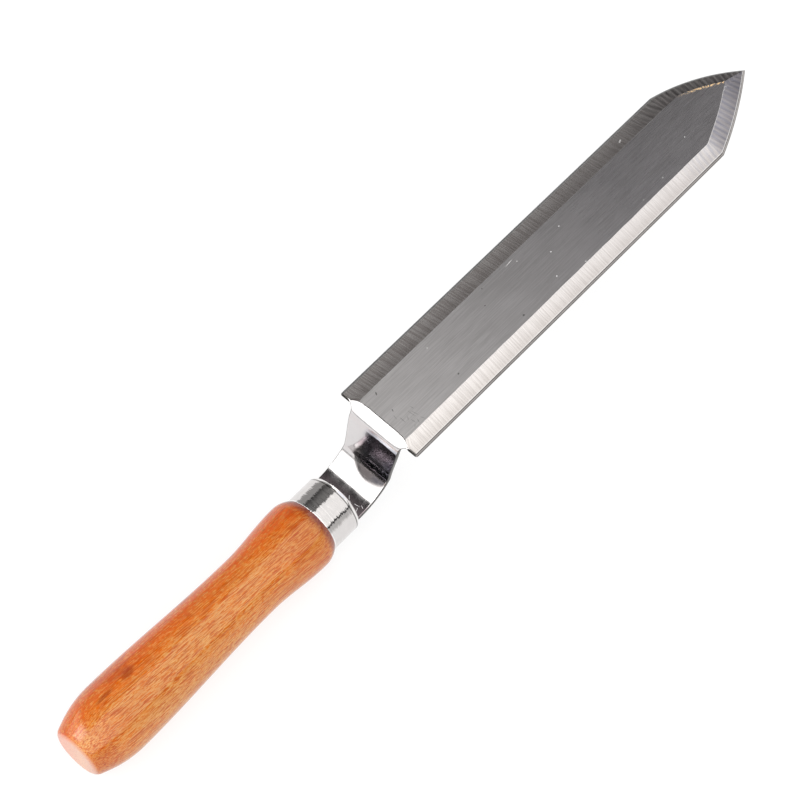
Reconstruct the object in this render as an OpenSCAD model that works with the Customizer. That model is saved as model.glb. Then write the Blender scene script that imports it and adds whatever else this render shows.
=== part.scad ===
// Uncapping knife: a cranked stainless blade in a turned hardwood handle.
// Millimetres. +X runs from the handle's butt to the blade's tip, +Y is across the blade, and +Z is up.
// The knife lies comb side up: the handle's barrel touches z = 0 and the blade's ground face is on top.
// The origin is at the middle of the knife's length and width, at the level of the handle's underside.

/* [Blade] */
// Length of the blade from its heel to its tip
blade_length = 233; // [215:1:250]
// Width across the two parallel cutting edges
blade_width = 40; // [38:1:44]
// Thickness of the stainless strip that makes blade, neck and tang
strip_thickness = 1.8; // [1.6:0.1:2.2]
// Width of each ground bevel, seen square to the blade
bevel_width = 6.95; // [5:0.05:8]
// How far each bevel falls away from the flat
bevel_drop = 0.6; // [0.4:0.05:0.8]
// Width of the steep honed edge outside each bevel
hone_width = 0.95; // [0.6:0.05:1.2]
// Height of the blunt land left under the honed edge
edge_land = 0.1; // [0.05:0.05:0.3]

/* [Pointed end] */
// Length of the pointed end, from the shoulders to the tip
tip_length = 40; // [36:1:44]
// How far the tip stands off the blade's centre line, towards +Y
tip_offset = 0; // [0:0.1:1]
// Angle of the +Y tip edge to the blade where it leaves the shoulder
left_tip_angle = 12.5; // [12:0.5:25]
// Angle of the -Y tip edge to the blade where it leaves the shoulder
right_tip_angle = 20.5; // [14:0.5:22]
// Width of the +Y tip edge's bevel
left_tip_bevel = 4.3; // [4:0.1:7]
// Width of the -Y tip edge's bevel
right_tip_bevel = 7; // [5:0.1:8]

/* [Neck and tang] */
// Height of the blade's ground face above the handle's axis
crank_height = 37.3; // [34:0.1:42]
// Distance from the ferrule's face to the blade's heel
neck_reach = 22; // [21:0.5:23]
// Width of the neck where it leaves the ferrule
neck_width = 23.4; // [20:0.1:24]
// Width of the neck just below the fillets at the heel
neck_top_width = 25.2; // [24:0.1:27]
// Slope of the neck's upright web, from the handle's axis
web_angle = 84; // [82:1:86]
// Radius of the sweep that turns the neck upwards, on its hollow side
lower_bend_r = 17.5; // [14:0.5:18]
// Radius of the bend at the heel, on its outer side
heel_bend_r = 4.5; // [4:0.5:6]
// Radius of the fillets between neck and blade
heel_fillet_r = 4; // [3:0.5:5]
// Length of the tang inside the handle
tang_length = 73; // [50:1:80]
// Width of the tang
tang_width = 12; // [8:1:12]
// Width of the tang at its end
tang_end_width = 6; // [4:1:8]

/* [Ferrule] */
// Length of the ferrule
ferrule_length = 15; // [13:0.5:18]
// Outer diameter of the ferrule
ferrule_d = 26.5; // [26:0.1:28]
// Wall of the drawn metal
ferrule_wall = 0.8; // [0.6:0.1:1.2]
// Radius of the ferrule's front shoulder
ferrule_shoulder_r = 2; // [1.5:0.1:3]
// Gap round the tang in the ferrule's slot
slot_gap = 0.1; // [0.05:0.05:0.3]

/* [Handle] */
// Length of the handle that shows behind the ferrule
handle_length = 130; // [120:1:140]
// Greatest diameter, near the butt
handle_d = 31.5; // [30:0.5:34]
// Diameter of the waist
waist_d = 26.9; // [26.5:0.1:28]
// Diameter of the swell behind the ferrule
swell_d = 30.9; // [29:0.1:32]
// Diameter of the flat on the butt
butt_flat_d = 17; // [14:0.5:18]
// Radius round the butt's edge
butt_r = 3.5; // [2.5:0.5:4]
// Diameter of the bore for the tang
bore_d = 13; // [12.5:0.1:14]
// Depth of the bore from the spigot's face
bore_depth = 76; // [74:1:82]

/* [Hidden] */
// Degrees left out where one arc runs on into the next, so that no point is drawn twice
arc_gap = 4;

$fn = 96;
eps = 0.01;
arc_steps = 14;       // segments in each bend or fillet
sweep_angle = 60;     // slope of the neck at the end of its sweep, where the knee starts
knee_r = 3;           // radius of the tight knee between sweep and web, on its hollow side
heel_cut_angle = 22;  // slope of the heel's bend where the blade's ground face cuts it
ease_steps = 12;      // segments in each flowing stretch of the handle
spigot_gap = 0.05;    // glue line between spigot and ferrule
spigot_end_gap = 0.2; // space between the spigot's face and the ferrule's front plate
drill_point = 59;     // half of the drill's point angle
swell_x = 6.7;        // from the ferrule's rear edge back to the top of the swell
waist_x = 35;         // from the ferrule's rear edge back to the waist
butt_crown_x = 21;    // from the butt to the handle's greatest diameter
butt_crown_r = 45;    // radius of the handle's side between butt edge and greatest diameter

overall_length = handle_length + ferrule_length + neck_reach + blade_length;
butt_x = -overall_length / 2;
ferrule_rear_x = butt_x + handle_length;
ferrule_face_x = ferrule_rear_x + ferrule_length;
heel_x = ferrule_face_x + neck_reach;
tip_x = heel_x + blade_length;
shoulder_x = tip_x - tip_length;
tang_end_x = ferrule_face_x - tang_length;
axis_z = handle_d / 2;
half_width = blade_width / 2;
half_strip = strip_thickness / 2;
ferrule_r = ferrule_d / 2;
spigot_r = ferrule_r - ferrule_wall - spigot_gap;
spigot_face_x = ferrule_face_x - ferrule_wall - spigot_end_gap;
bore_end_x = spigot_face_x - bore_depth;
swell_end_r = ferrule_r + eps * 5;

// Points along an arc from angle a0 to angle a1.
function arc(cx, cy, r, a0, a1, steps = arc_steps) =
    [for (i = [0 : steps]) let (a = a0 + (a1 - a0) * i / steps) [cx + r * cos(a), cy + r * sin(a)]];

// Points of a smooth S from one radius to another, without its two end points.
function ease(x0, r0, x1, r1) =
    [for (i = [1 : ease_steps - 1])
        let (t = i / ease_steps) [x0 + (x1 - x0) * t, r0 + (r1 - r0) * (1 - cos(180 * t)) / 2]];

// ---- The bent strip, in the XZ plane with the handle's axis at z = 0 ----

heel_bend_x = heel_x + heel_bend_r * sin(heel_cut_angle);
heel_bend_z = crank_height - heel_bend_r * cos(heel_cut_angle);
inner_heel_r = heel_bend_r - strip_thickness;
inner_cut_angle = acos((crank_height - strip_thickness - heel_bend_z) / inner_heel_r);
web_top = [heel_bend_x - heel_bend_r * sin(web_angle), heel_bend_z + heel_bend_r * cos(web_angle)];

sweep_z = half_strip + lower_bend_r;
knee_z = sweep_z - (lower_bend_r - knee_r) * cos(sweep_angle);
web_foot_z = knee_z - knee_r * cos(web_angle);
web_foot_x = web_top[0] - (web_top[1] - web_foot_z) / tan(web_angle);
knee_x = web_foot_x - knee_r * sin(web_angle);
sweep_x = knee_x - (lower_bend_r - knee_r) * sin(sweep_angle);

strip_outline = concat(
    [[tang_end_x, -half_strip]],
    arc(sweep_x, sweep_z, lower_bend_r + strip_thickness, -90, sweep_angle - 90),
    arc(knee_x, knee_z, knee_r + strip_thickness, sweep_angle - 90 + arc_gap, web_angle - 90, 6),
    arc(heel_bend_x, heel_bend_z, inner_heel_r, web_angle + 90, 90 + inner_cut_angle),
    [[tip_x + 1, crank_height - strip_thickness]],
    [[tip_x + 1, crank_height]],
    arc(heel_bend_x, heel_bend_z, heel_bend_r, 90 + heel_cut_angle, web_angle + 90),
    arc(knee_x, knee_z, knee_r, web_angle - 90, sweep_angle - 90 + arc_gap, 6),
    arc(sweep_x, sweep_z, lower_bend_r, sweep_angle - 90, -90),
    [[tang_end_x, half_strip]]
);

module bent_strip() {
    rotate([90, 0, 0])
        linear_extrude(blade_width + 2, center = true)
            polygon(strip_outline);
}

// ---- Outlines that trim the strip ----

module tang_envelope() {
    translate([0, 0, -strip_thickness])
        linear_extrude(2 * strip_thickness)
            polygon([
                [tang_end_x, -tang_end_width / 2],
                [ferrule_face_x, -tang_width / 2],
                [ferrule_face_x, tang_width / 2],
                [tang_end_x, tang_end_width / 2]
            ]);
}

// Half of the neck seen along the knife: straight, a slight taper, then the fillet out to the heel.
neck_edge = concat(
    [[neck_width / 2, -strip_thickness]],
    [[neck_width / 2, crank_height / 2]],
    arc(neck_top_width / 2 + heel_fillet_r, crank_height - heel_fillet_r, heel_fillet_r, 180, 90),
    [[neck_top_width / 2 + heel_fillet_r, crank_height + 1]]
);

module neck_envelope() {
    translate([ferrule_face_x, 0, 0])
        rotate([90, 0, 90])
            linear_extrude(neck_reach)
                union() {
                    polygon(concat([[0, -strip_thickness]], neck_edge, [[0, crank_height + 1]]));
                    mirror([1, 0])
                        polygon(concat([[0, -strip_thickness]], neck_edge, [[0, crank_height + 1]]));
                }
}

hone_z = crank_height - bevel_drop;
land_z = crank_height - strip_thickness + edge_land;
low_z = crank_height - heel_bend_r;

// Half of the ground section: the land, the honed edge, and the bevel carried on past the flat.
function ground_edge(outer, bevel) = [
    [outer, low_z],
    [outer, land_z],
    [outer - hone_width, hone_z],
    [outer - hone_width - 2 * bevel, crank_height + bevel_drop]
];

module ground_prism() {
    edge = ground_edge(half_width, bevel_width);
    translate([heel_x, 0, 0])
        rotate([90, 0, 90])
            linear_extrude(blade_length)
                polygon([
                    [-edge[0][0], edge[0][1]],
                    edge[0],
                    edge[1],
                    edge[2],
                    edge[3],
                    [-edge[3][0], edge[3][1]],
                    [-edge[2][0], edge[2][1]],
                    [-edge[1][0], edge[1][1]]
                ]);
}

// One curved edge of the pointed end: a bevelled disc through the shoulder and the tip.
module tip_edge(start_angle, rise, bevel) {
    chord_angle = atan2(rise, tip_length);
    chord = sqrt(rise * rise + tip_length * tip_length);
    edge_r = chord / (2 * sin(chord_angle - start_angle));
    edge = ground_edge(edge_r, bevel);
    translate([shoulder_x - edge_r * sin(start_angle), half_width - edge_r * cos(start_angle), 0])
        rotate_extrude($fn = 720)
            polygon(concat([[0, low_z]], edge, [[0, crank_height + bevel_drop]]));
}

// The blade behind the shoulders, where the tip edges don't reach.
module behind_tip() {
    translate([heel_x - 1, -blade_width, low_z - 1])
        cube([blade_length - 1.5 * tip_length, 2 * blade_width, 2 * heel_bend_r]);
}

module blade_envelope() {
    intersection() {
        ground_prism();
        union() {
            behind_tip();
            tip_edge(left_tip_angle, half_width - tip_offset, left_tip_bevel);
        }
        union() {
            behind_tip();
            mirror([0, 1, 0])
                tip_edge(right_tip_angle, half_width + tip_offset, right_tip_bevel);
        }
    }
}

// ---- Sub-parts ----

module blade() {
    color([0.62, 0.61, 0.60])
        translate([0, 0, axis_z])
            intersection() {
                bent_strip();
                union() {
                    tang_envelope();
                    neck_envelope();
                    blade_envelope();
                }
            }
}

// A drawn cup: rounded front shoulder, front plate with the tang's slot, open at the back.
module ferrule() {
    inner_r = ferrule_r - ferrule_wall;
    inner_shoulder_r = ferrule_shoulder_r - ferrule_wall;
    shoulder_x = ferrule_length - ferrule_shoulder_r;
    color([0.80, 0.80, 0.80])
        translate([ferrule_rear_x, 0, axis_z])
            rotate([0, 90, 0])
                difference() {
                    rotate_extrude()
                        polygon(concat(
                            [[0, ferrule_length - ferrule_wall]],
                            arc(inner_r - inner_shoulder_r, shoulder_x, inner_shoulder_r, 90, 0, 6),
                            [[inner_r, 0]],
                            [[ferrule_r, 0]],
                            arc(ferrule_r - ferrule_shoulder_r, shoulder_x, ferrule_shoulder_r, 0, 90, 8),
                            [[0, ferrule_length]]
                        ));
                    translate([-half_strip - slot_gap, -tang_width / 2 - slot_gap, shoulder_x])
                        cube([strip_thickness + 2 * slot_gap, tang_width + 2 * slot_gap, ferrule_length]);
                }
}

// The handle's outline from the butt forward, as [distance from the butt, radius].
crown_start = asin((butt_crown_x - butt_r) / butt_crown_r);
swell_from_butt = handle_length - swell_x;
waist_from_butt = handle_length - waist_x;
swell_fall = swell_d / 2 - swell_end_r;
swell_r = (swell_x * swell_x + swell_fall * swell_fall) / (2 * swell_fall);

handle_outline = concat(
    [[0, 0]],
    arc(butt_r, butt_flat_d / 2, butt_r, 180, 90 + crown_start, 6),
    arc(butt_crown_x, axis_z - butt_crown_r, butt_crown_r, 90 + crown_start - arc_gap, 90, 8),
    ease(butt_crown_x, axis_z, waist_from_butt, waist_d / 2),
    ease(waist_from_butt, waist_d / 2, swell_from_butt, swell_d / 2),
    arc(swell_from_butt, swell_d / 2 - swell_r, swell_r, 90, 90 - asin(swell_x / swell_r), 8),
    [[handle_length, spigot_r]],
    [[handle_length + spigot_face_x - ferrule_rear_x, spigot_r]],
    [[handle_length + spigot_face_x - ferrule_rear_x, 0]]
);

// Turns a [distance, radius] outline about the handle's axis.
module turned(start_x, outline) {
    translate([start_x, 0, axis_z])
        rotate([0, 90, 0])
            rotate_extrude()
                polygon([for (p = outline) [p[1], p[0]]]);
}

module tang_bore(extra = 0) {
    turned(bore_end_x, [
        [0, 0],
        [bore_d / 2 / tan(drill_point), bore_d / 2],
        [bore_depth + extra, bore_d / 2],
        [bore_depth + extra, 0]
    ]);
}

module handle() {
    color([0.78, 0.42, 0.16])
        difference() {
            turned(butt_x, handle_outline);
            tang_bore(1);
        }
}

module tang_adhesive() {
    color([0.75, 0.65, 0.40])
        difference() {
            tang_bore();
            translate([0, 0, axis_z])
                intersection() {
                    bent_strip();
                    tang_envelope();
                }
        }
}

blade();
ferrule();
handle();
tang_adhesive();
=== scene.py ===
import math

import bmesh
import bpy
from mathutils import Matrix, Vector, noise


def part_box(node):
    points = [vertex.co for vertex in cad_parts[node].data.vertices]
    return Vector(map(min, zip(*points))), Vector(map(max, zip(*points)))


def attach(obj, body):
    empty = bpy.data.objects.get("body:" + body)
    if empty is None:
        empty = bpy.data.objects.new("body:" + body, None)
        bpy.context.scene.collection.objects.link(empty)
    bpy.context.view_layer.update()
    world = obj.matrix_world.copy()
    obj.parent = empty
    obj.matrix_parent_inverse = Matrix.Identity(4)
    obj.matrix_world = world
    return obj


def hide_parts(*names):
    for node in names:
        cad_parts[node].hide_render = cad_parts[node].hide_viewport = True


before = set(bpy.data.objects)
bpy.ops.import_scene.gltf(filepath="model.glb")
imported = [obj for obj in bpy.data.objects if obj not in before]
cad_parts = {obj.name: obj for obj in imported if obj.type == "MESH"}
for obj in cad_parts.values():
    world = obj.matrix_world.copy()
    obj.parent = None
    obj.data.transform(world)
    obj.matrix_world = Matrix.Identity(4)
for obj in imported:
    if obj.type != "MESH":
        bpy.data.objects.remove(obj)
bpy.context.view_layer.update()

MM = 0.001

# ---------------------------------------------------------------- places and sizes from the frame

blade_lo, blade_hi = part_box("blade")
ferrule_lo, ferrule_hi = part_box("ferrule")
handle_lo, handle_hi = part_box("handle")

TIP_X = blade_hi.x
TANG_END_X = blade_lo.x
COMB_Z = blade_hi.z
HALF_WIDTH = blade_hi.y
AXIS_Z = handle_hi.z / 2
BUTT_X = handle_lo.x
SPIGOT_FACE_X = handle_hi.x
FERRULE_REAR_X = ferrule_lo.x
FERRULE_FACE_X = ferrule_hi.x
FERRULE_R = ferrule_hi.y

# The strip and its grind, as the CAD has them.
NECK_LENGTH = 22 * MM
HEEL_X = FERRULE_FACE_X + NECK_LENGTH
STRIP = 1.8 * MM
WEB_ANGLE = math.radians(84)
SWEEP_R = 17.5 * MM
SWEEP_ANGLE = math.radians(60)
KNEE_R = 3 * MM
HEEL_BEND_R = 4.5 * MM
HEEL_CUT_ANGLE = math.radians(22)
NECK_HALF = 11.7 * MM
NECK_TOP_HALF = 12.6 * MM
HEEL_FILLET_R = 4 * MM
TANG_HALF = 6 * MM
TANG_END_HALF = 3 * MM
BEVEL = 6.95 * MM
BEVEL_DROP = 0.6 * MM
HONE = 0.95 * MM
EDGE_DROP = 1.7 * MM
TIP_LENGTH = 40 * MM
LEFT, RIGHT = 1, -1     # the +Y and the -Y side
TIP_START_ANGLE = {LEFT: math.radians(12.5), RIGHT: math.radians(20.5)}
TIP_BEVEL = {LEFT: 4.3 * MM, RIGHT: 7 * MM}
SHOULDER_X = TIP_X - TIP_LENGTH
HEEL_CORNER_R = 1.0 * MM
EDGE_ROUND = 0.25 * MM

# The heel's bend as seen: a tight crease above the web, then a wide arc that reaches onto the blade.
CREASE_R, CREASE_ANGLE = 1.8 * MM, math.radians(58)
WIDE_R = 9.6 * MM
BEND_FOOT = 1.1 * MM        # how far down the web the bend's stations start
BULGE = 2.3 * MM            # the polished bend's reach onto the blade, on the centre line
BULGE_HALF = 14.6 * MM      # distance from the centre line where that reach has fallen to nothing
BULGE_BACK = -0.3 * MM      # and its lowest value, out at the edges

# Divisions of the mesh round one ring of the strip and along it.
FLAT_STEPS, BEVEL_STEPS, HONE_STEPS, BACK_STEPS = 20, 8, 3, 20
SWEEP_STEPS, KNEE_STEPS, WEB_STEPS = 40, 12, 20
BEND_STEPS, CREASE_STEPS = 40, 8


# ---------------------------------------------------------------- small helpers

def smoothstep(lo, hi, x):
    t = min(1, max(0, (x - lo) / (hi - lo)))
    return t * t * (3 - 2 * t)


def wobble(x, seed, period):
    """A smooth random value from -1 to 1 along x, the same on each run."""
    return noise.noise(Vector((x / period, seed, 0.5 * seed)))


def object_from(name, verts, faces, sharp=(), slots=()):
    """A smooth-shaded mesh object with named sharp edges and one material index per face."""
    mesh = bpy.data.meshes.new(name)
    mesh.from_pydata(verts, [], faces)
    mesh.shade_smooth()
    sharp = {tuple(sorted(e)) for e in sharp}
    for edge in mesh.edges:
        if tuple(sorted(edge.vertices)) in sharp:
            edge.use_edge_sharp = True
    for face, slot in zip(mesh.polygons, slots):
        face.material_index = slot
    piece = bpy.data.objects.new(name, mesh)
    bpy.context.scene.collection.objects.link(piece)
    return piece


def planar_uv(piece):
    """UVs that run along +X and +Y, so that brushed metal has a direction."""
    layer = piece.data.uv_layers.new(name="UVMap")
    for loop in piece.data.loops:
        co = piece.data.vertices[loop.vertex_index].co
        layer.data[loop.index].uv = (0.5 + 2 * co.x, 0.5 + 2 * co.y)


def edge_uv(piece, coords):
    """UVs in centimetres: how far along a cutting edge each point is, and how far in from it."""
    layer = piece.data.uv_layers.new(name="Edge")
    for loop in piece.data.loops:
        layer.data[loop.index].uv = coords[loop.vertex_index]


# ---------------------------------------------------------------- blade, neck and tang

def tip_circle(side):
    """Centre and radius of the arc from a shoulder to the tip, with the side's own y upwards."""
    start = TIP_START_ANGLE[side]
    chord = math.hypot(HALF_WIDTH, TIP_LENGTH)
    radius = chord / (2 * math.sin(math.atan2(HALF_WIDTH, TIP_LENGTH) - start))
    return (SHOULDER_X - radius * math.sin(start), HALF_WIDTH - radius * math.cos(start), radius)


TIP_CIRCLE = {side: tip_circle(side) for side in (LEFT, RIGHT)}


def line_y(side, x, inset, tip_inset):
    """Distance from the centre line, at x, of the line that runs inset from the cutting edge."""
    straight = HALF_WIDTH - inset
    past_heel = x - HEEL_X
    if past_heel < HEEL_CORNER_R:
        straight -= HEEL_CORNER_R - math.sqrt(max(0, HEEL_CORNER_R**2 - (HEEL_CORNER_R - past_heel) ** 2))
    cx, cy, radius = TIP_CIRCLE[side]
    if x < cx:
        return straight
    reach = radius - tip_inset
    curved = cy + math.sqrt(max(0, reach * reach - (x - cx) ** 2))
    return min(straight, curved)


def inset_depth(inset, bevel):
    """How far the ground face lies below the flat at a distance in from the cutting edge."""
    if inset < HONE:
        return EDGE_DROP - (EDGE_DROP - BEVEL_DROP) * max(0, inset) / HONE
    return BEVEL_DROP * max(0, 1 - (inset - HONE) / bevel)


def edge_inset(side, x, y):
    """How far the point lies in from the cutting edge of a side, and that edge's bevel width."""
    along = side * y
    cx, cy, radius = TIP_CIRCLE[side]
    inset, bevel = HALF_WIDTH - along, BEVEL
    if x > cx:
        from_arc = radius - math.hypot(x - cx, along - cy)
        if inset_depth(from_arc, TIP_BEVEL[side]) > inset_depth(inset, bevel):
            return from_arc, TIP_BEVEL[side]
    return inset, bevel


def edge_distance(side, x, y):
    """How far the point lies in from the nearer part of a side's cutting edge."""
    cx, cy, radius = TIP_CIRCLE[side]
    straight = HALF_WIDTH - side * y
    return min(straight, radius - math.hypot(x - cx, side * y - cy)) if x > cx else straight


def ground_depth(x, y):
    """How far the ground face lies below the flat at a point: the deeper of the two sides' grinds."""
    return max(inset_depth(*edge_inset(side, x, y)) for side in (LEFT, RIGHT))


def ridge_y(x):
    """Where the two sides' grinds meet past the end of the flat."""
    lo, hi = -HALF_WIDTH, HALF_WIDTH
    for _ in range(40):
        mid = (lo + hi) / 2
        left = inset_depth(*edge_inset(LEFT, x, mid))
        right = inset_depth(*edge_inset(RIGHT, x, mid))
        if right > left:
            lo = mid
        else:
            hi = mid
    return lo


def spread(a, b, steps):
    """Even steps from a up to, but not including, b."""
    return [a + (b - a) * i / steps for i in range(steps)]


def blade_section(x):
    """Ground face points (y, depth) from the +Y land to the -Y land at a place along the blade."""
    lines = {}
    for side in (LEFT, RIGHT):
        shake = 0.13 * MM * wobble(x, 3.1 * side, 9 * MM) + 0.05 * MM * wobble(x, 7.7 * side, 2.3 * MM)
        outer = line_y(side, x, 0, 0)
        hone = line_y(side, x, HONE, HONE)
        inner = line_y(side, x, HONE + BEVEL + shake, HONE + TIP_BEVEL[side] + shake)
        lines[side] = [side * outer, side * hone, side * inner]
    if lines[LEFT][2] - lines[RIGHT][2] < 0.02 * MM:
        meet = ridge_y(x)
        for side in (LEFT, RIGHT):
            lines[side][2] = meet + side * 0.01 * MM
            if side * (lines[side][1] - meet) < 0.02 * MM:
                lines[side][1] = meet + side * 0.02 * MM
            if side * (lines[side][0] - meet) < 0.04 * MM:
                lines[side][0] = meet + side * 0.04 * MM
    left_outer, left_hone, left_inner = lines[LEFT]
    right_outer, right_hone, right_inner = lines[RIGHT]
    ys = spread(left_outer, left_hone, HONE_STEPS) + spread(left_hone, left_inner, BEVEL_STEPS)
    ys += spread(left_inner, right_inner, FLAT_STEPS)
    ys += spread(right_inner, right_hone, BEVEL_STEPS) + spread(right_hone, right_outer, HONE_STEPS)
    ys.append(right_outer)
    on_flat = HONE_STEPS + BEVEL_STEPS
    section = []
    for k, y in enumerate(ys):
        flat = on_flat <= k <= on_flat + FLAT_STEPS and left_inner - right_inner > 0.1 * MM
        section.append((y, 0 if flat else ground_depth(x, y)))
    return section


def strip_section(half):
    """Face points of the unground strip: flat, with its two edges rounded over."""
    inner = min(HALF_WIDTH - HONE - BEVEL, half * 0.729)
    side = []
    for i in range(HONE_STEPS):
        turn = math.pi / 2 * i / HONE_STEPS
        side.append((half - EDGE_ROUND * (1 - math.cos(turn)), EDGE_ROUND * (1 - math.sin(turn))))
    side += [(y, 0) for y in spread(half - EDGE_ROUND, inner, BEVEL_STEPS)]
    flat = [(y, 0) for y in spread(inner, -inner, FLAT_STEPS)] + [(-inner, 0)]
    return side + flat + [(-y, depth) for y, depth in reversed(side)]


def strip_stations():
    """Places along the strip as (x, z, normal angle, section, zone), from the tang's end to the tip."""
    up = math.pi / 2
    tang_z = AXIS_Z + STRIP / 2
    bend_x = HEEL_X + HEEL_BEND_R * math.sin(HEEL_CUT_ANGLE)
    bend_z = COMB_Z - HEEL_BEND_R * math.cos(HEEL_CUT_ANGLE)
    web_top_x = bend_x - HEEL_BEND_R * math.sin(WEB_ANGLE)
    web_top_z = bend_z + HEEL_BEND_R * math.cos(WEB_ANGLE)
    sweep_z = tang_z + SWEEP_R
    knee_z = sweep_z - (SWEEP_R - KNEE_R) * math.cos(SWEEP_ANGLE)
    foot_z = knee_z - KNEE_R * math.cos(WEB_ANGLE)
    foot_x = web_top_x - (web_top_z - foot_z) / math.tan(WEB_ANGLE)
    knee_x = foot_x - KNEE_R * math.sin(WEB_ANGLE)
    sweep_x = knee_x - (SWEEP_R - KNEE_R) * math.sin(SWEEP_ANGLE)
    stations = []
    for t in (0, 0.02, 0.25, 0.5, 0.75, 1):
        x = TANG_END_X + (FERRULE_FACE_X - TANG_END_X) * t
        half = TANG_END_HALF + (TANG_HALF - TANG_END_HALF) * t
        stations.append((x, tang_z, up, strip_section(half), "tang"))
    gap = 0.03 * MM
    for i in range(3):
        x = FERRULE_FACE_X + gap + (sweep_x - FERRULE_FACE_X - gap) * i / 3
        stations.append((x, tang_z, up, strip_section(NECK_HALF), "neck"))
    for i in range(SWEEP_STEPS):
        turn = SWEEP_ANGLE * i / SWEEP_STEPS
        x, z = sweep_x + SWEEP_R * math.sin(turn), sweep_z - SWEEP_R * math.cos(turn)
        stations.append((x, z, up + turn, strip_section(NECK_HALF), "neck"))
    for i in range(KNEE_STEPS + 1):
        turn = SWEEP_ANGLE + (WEB_ANGLE - SWEEP_ANGLE) * i / KNEE_STEPS
        x, z = knee_x + KNEE_R * math.sin(turn), knee_z - KNEE_R * math.cos(turn)
        stations.append((x, z, up + turn, strip_section(NECK_HALF), "neck"))
    start_x, start_z = web_top_x - BEND_FOOT / math.tan(WEB_ANGLE), web_top_z - BEND_FOOT
    for i in range(1, WEB_STEPS):
        t = i / WEB_STEPS
        x, z = foot_x + (start_x - foot_x) * t, foot_z + (start_z - foot_z) * t
        half = NECK_HALF + (NECK_TOP_HALF - NECK_HALF) * smoothstep(0, 1, t)
        stations.append((x, z, up + WEB_ANGLE, strip_section(half), "neck"))
    for i in range(BEND_STEPS + 1):
        if i < CREASE_STEPS:
            turn, climb = WEB_ANGLE, i / CREASE_STEPS
            x, z = start_x + (web_top_x - start_x) * climb, start_z + BEND_FOOT * climb
        else:
            share = (i - CREASE_STEPS) / (BEND_STEPS - CREASE_STEPS)
            turn = WEB_ANGLE + (HEEL_CUT_ANGLE - WEB_ANGLE) * share
            x, z = bend_x - HEEL_BEND_R * math.sin(turn), bend_z + HEEL_BEND_R * math.cos(turn)
        climb = min(1, max(0, (z - COMB_Z + HEEL_FILLET_R) / HEEL_FILLET_R))
        half = NECK_TOP_HALF + HEEL_FILLET_R * (1 - math.sqrt(1 - climb * climb))
        stations.append((x, z, up + turn, strip_section(half), "bend"))
    return stations


def full_bend(i):
    """The heel's bend along the middle of the strip: a crease, then a wide arc that ends on the blade."""
    end_x = HEEL_X + heel_bulge(0)
    arc_x = end_x + WIDE_R * math.sin(HEEL_CUT_ANGLE)
    arc_z = COMB_Z - WIDE_R * math.cos(HEEL_CUT_ANGLE)
    if i >= CREASE_STEPS:
        share = (i - CREASE_STEPS) / (BEND_STEPS - CREASE_STEPS)
        turn = CREASE_ANGLE + (HEEL_CUT_ANGLE - CREASE_ANGLE) * share
        return arc_x - WIDE_R * math.sin(turn), arc_z + WIDE_R * math.cos(turn), math.pi / 2 + turn
    turn = WEB_ANGLE + (CREASE_ANGLE - WEB_ANGLE) * i / CREASE_STEPS
    crease_x = arc_x - (WIDE_R - CREASE_R) * math.sin(CREASE_ANGLE)
    crease_z = arc_z + (WIDE_R - CREASE_R) * math.cos(CREASE_ANGLE)
    return crease_x - CREASE_R * math.sin(turn), crease_z + CREASE_R * math.cos(turn), math.pi / 2 + turn


def heel_bulge(y):
    """How far the polished bend reaches onto the blade past the straight heel."""
    return max(BULGE_BACK, BULGE * (1 - (y / BULGE_HALF) ** 6))


def blade_stations():
    """Places along the ground blade, from just past the heel to the tip."""
    xs = [HEEL_X + d * MM for d in (0.05, 0.2, 0.4, 0.6, 0.8, 1.0, 1.3, 1.6, 2.0, 2.5, 3.2, 4.0)]
    x = HEEL_X + 5 * MM
    while x < SHOULDER_X - 0.2 * MM:
        xs.append(x)
        x += 1 * MM
    x = SHOULDER_X
    while x < TIP_X - 0.3 * MM:
        xs.append(x)
        x += 0.4 * MM
    xs.append(TIP_X - 0.1 * MM)
    return xs


SLOTS = ["neck", "rolled_edge", "flat", "left_bevel", "right_bevel", "left_hone", "right_hone", "back"]


def face_slot(k, top_count):
    """The material of the faces that start at point k of a ring on the ground blade."""
    inner_l, hone_r = HONE_STEPS + BEVEL_STEPS, top_count - 1 - HONE_STEPS
    inner_r = hone_r - BEVEL_STEPS
    if k >= top_count:
        return "back" if k < top_count + BACK_STEPS else "left_hone"
    if k < HONE_STEPS:
        return "left_hone"
    if k < inner_l:
        return "left_bevel"
    if k < inner_r:
        return "flat"
    return "right_bevel" if k < hone_r else "right_hone"


def strip_slot(k, top_count):
    """The same on the bent strip: its faces are polished and its edges are left as rolled."""
    on_right_edge = top_count - 1 - HONE_STEPS <= k < top_count
    on_edge = k < HONE_STEPS or on_right_edge or k == top_count + BACK_STEPS
    return "rolled_edge" if on_edge else "neck"


def along_edge(side, x, y):
    """Distance along a cutting edge from its shoulder: straight behind it, round the arc past it."""
    cx, cy, radius = TIP_CIRCLE[side]
    if x < SHOULDER_X:
        return x - SHOULDER_X
    start = math.atan2(HALF_WIDTH - cy, SHOULDER_X - cx)
    return radius * (start - math.atan2(side * y - cy, x - cx))


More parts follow.
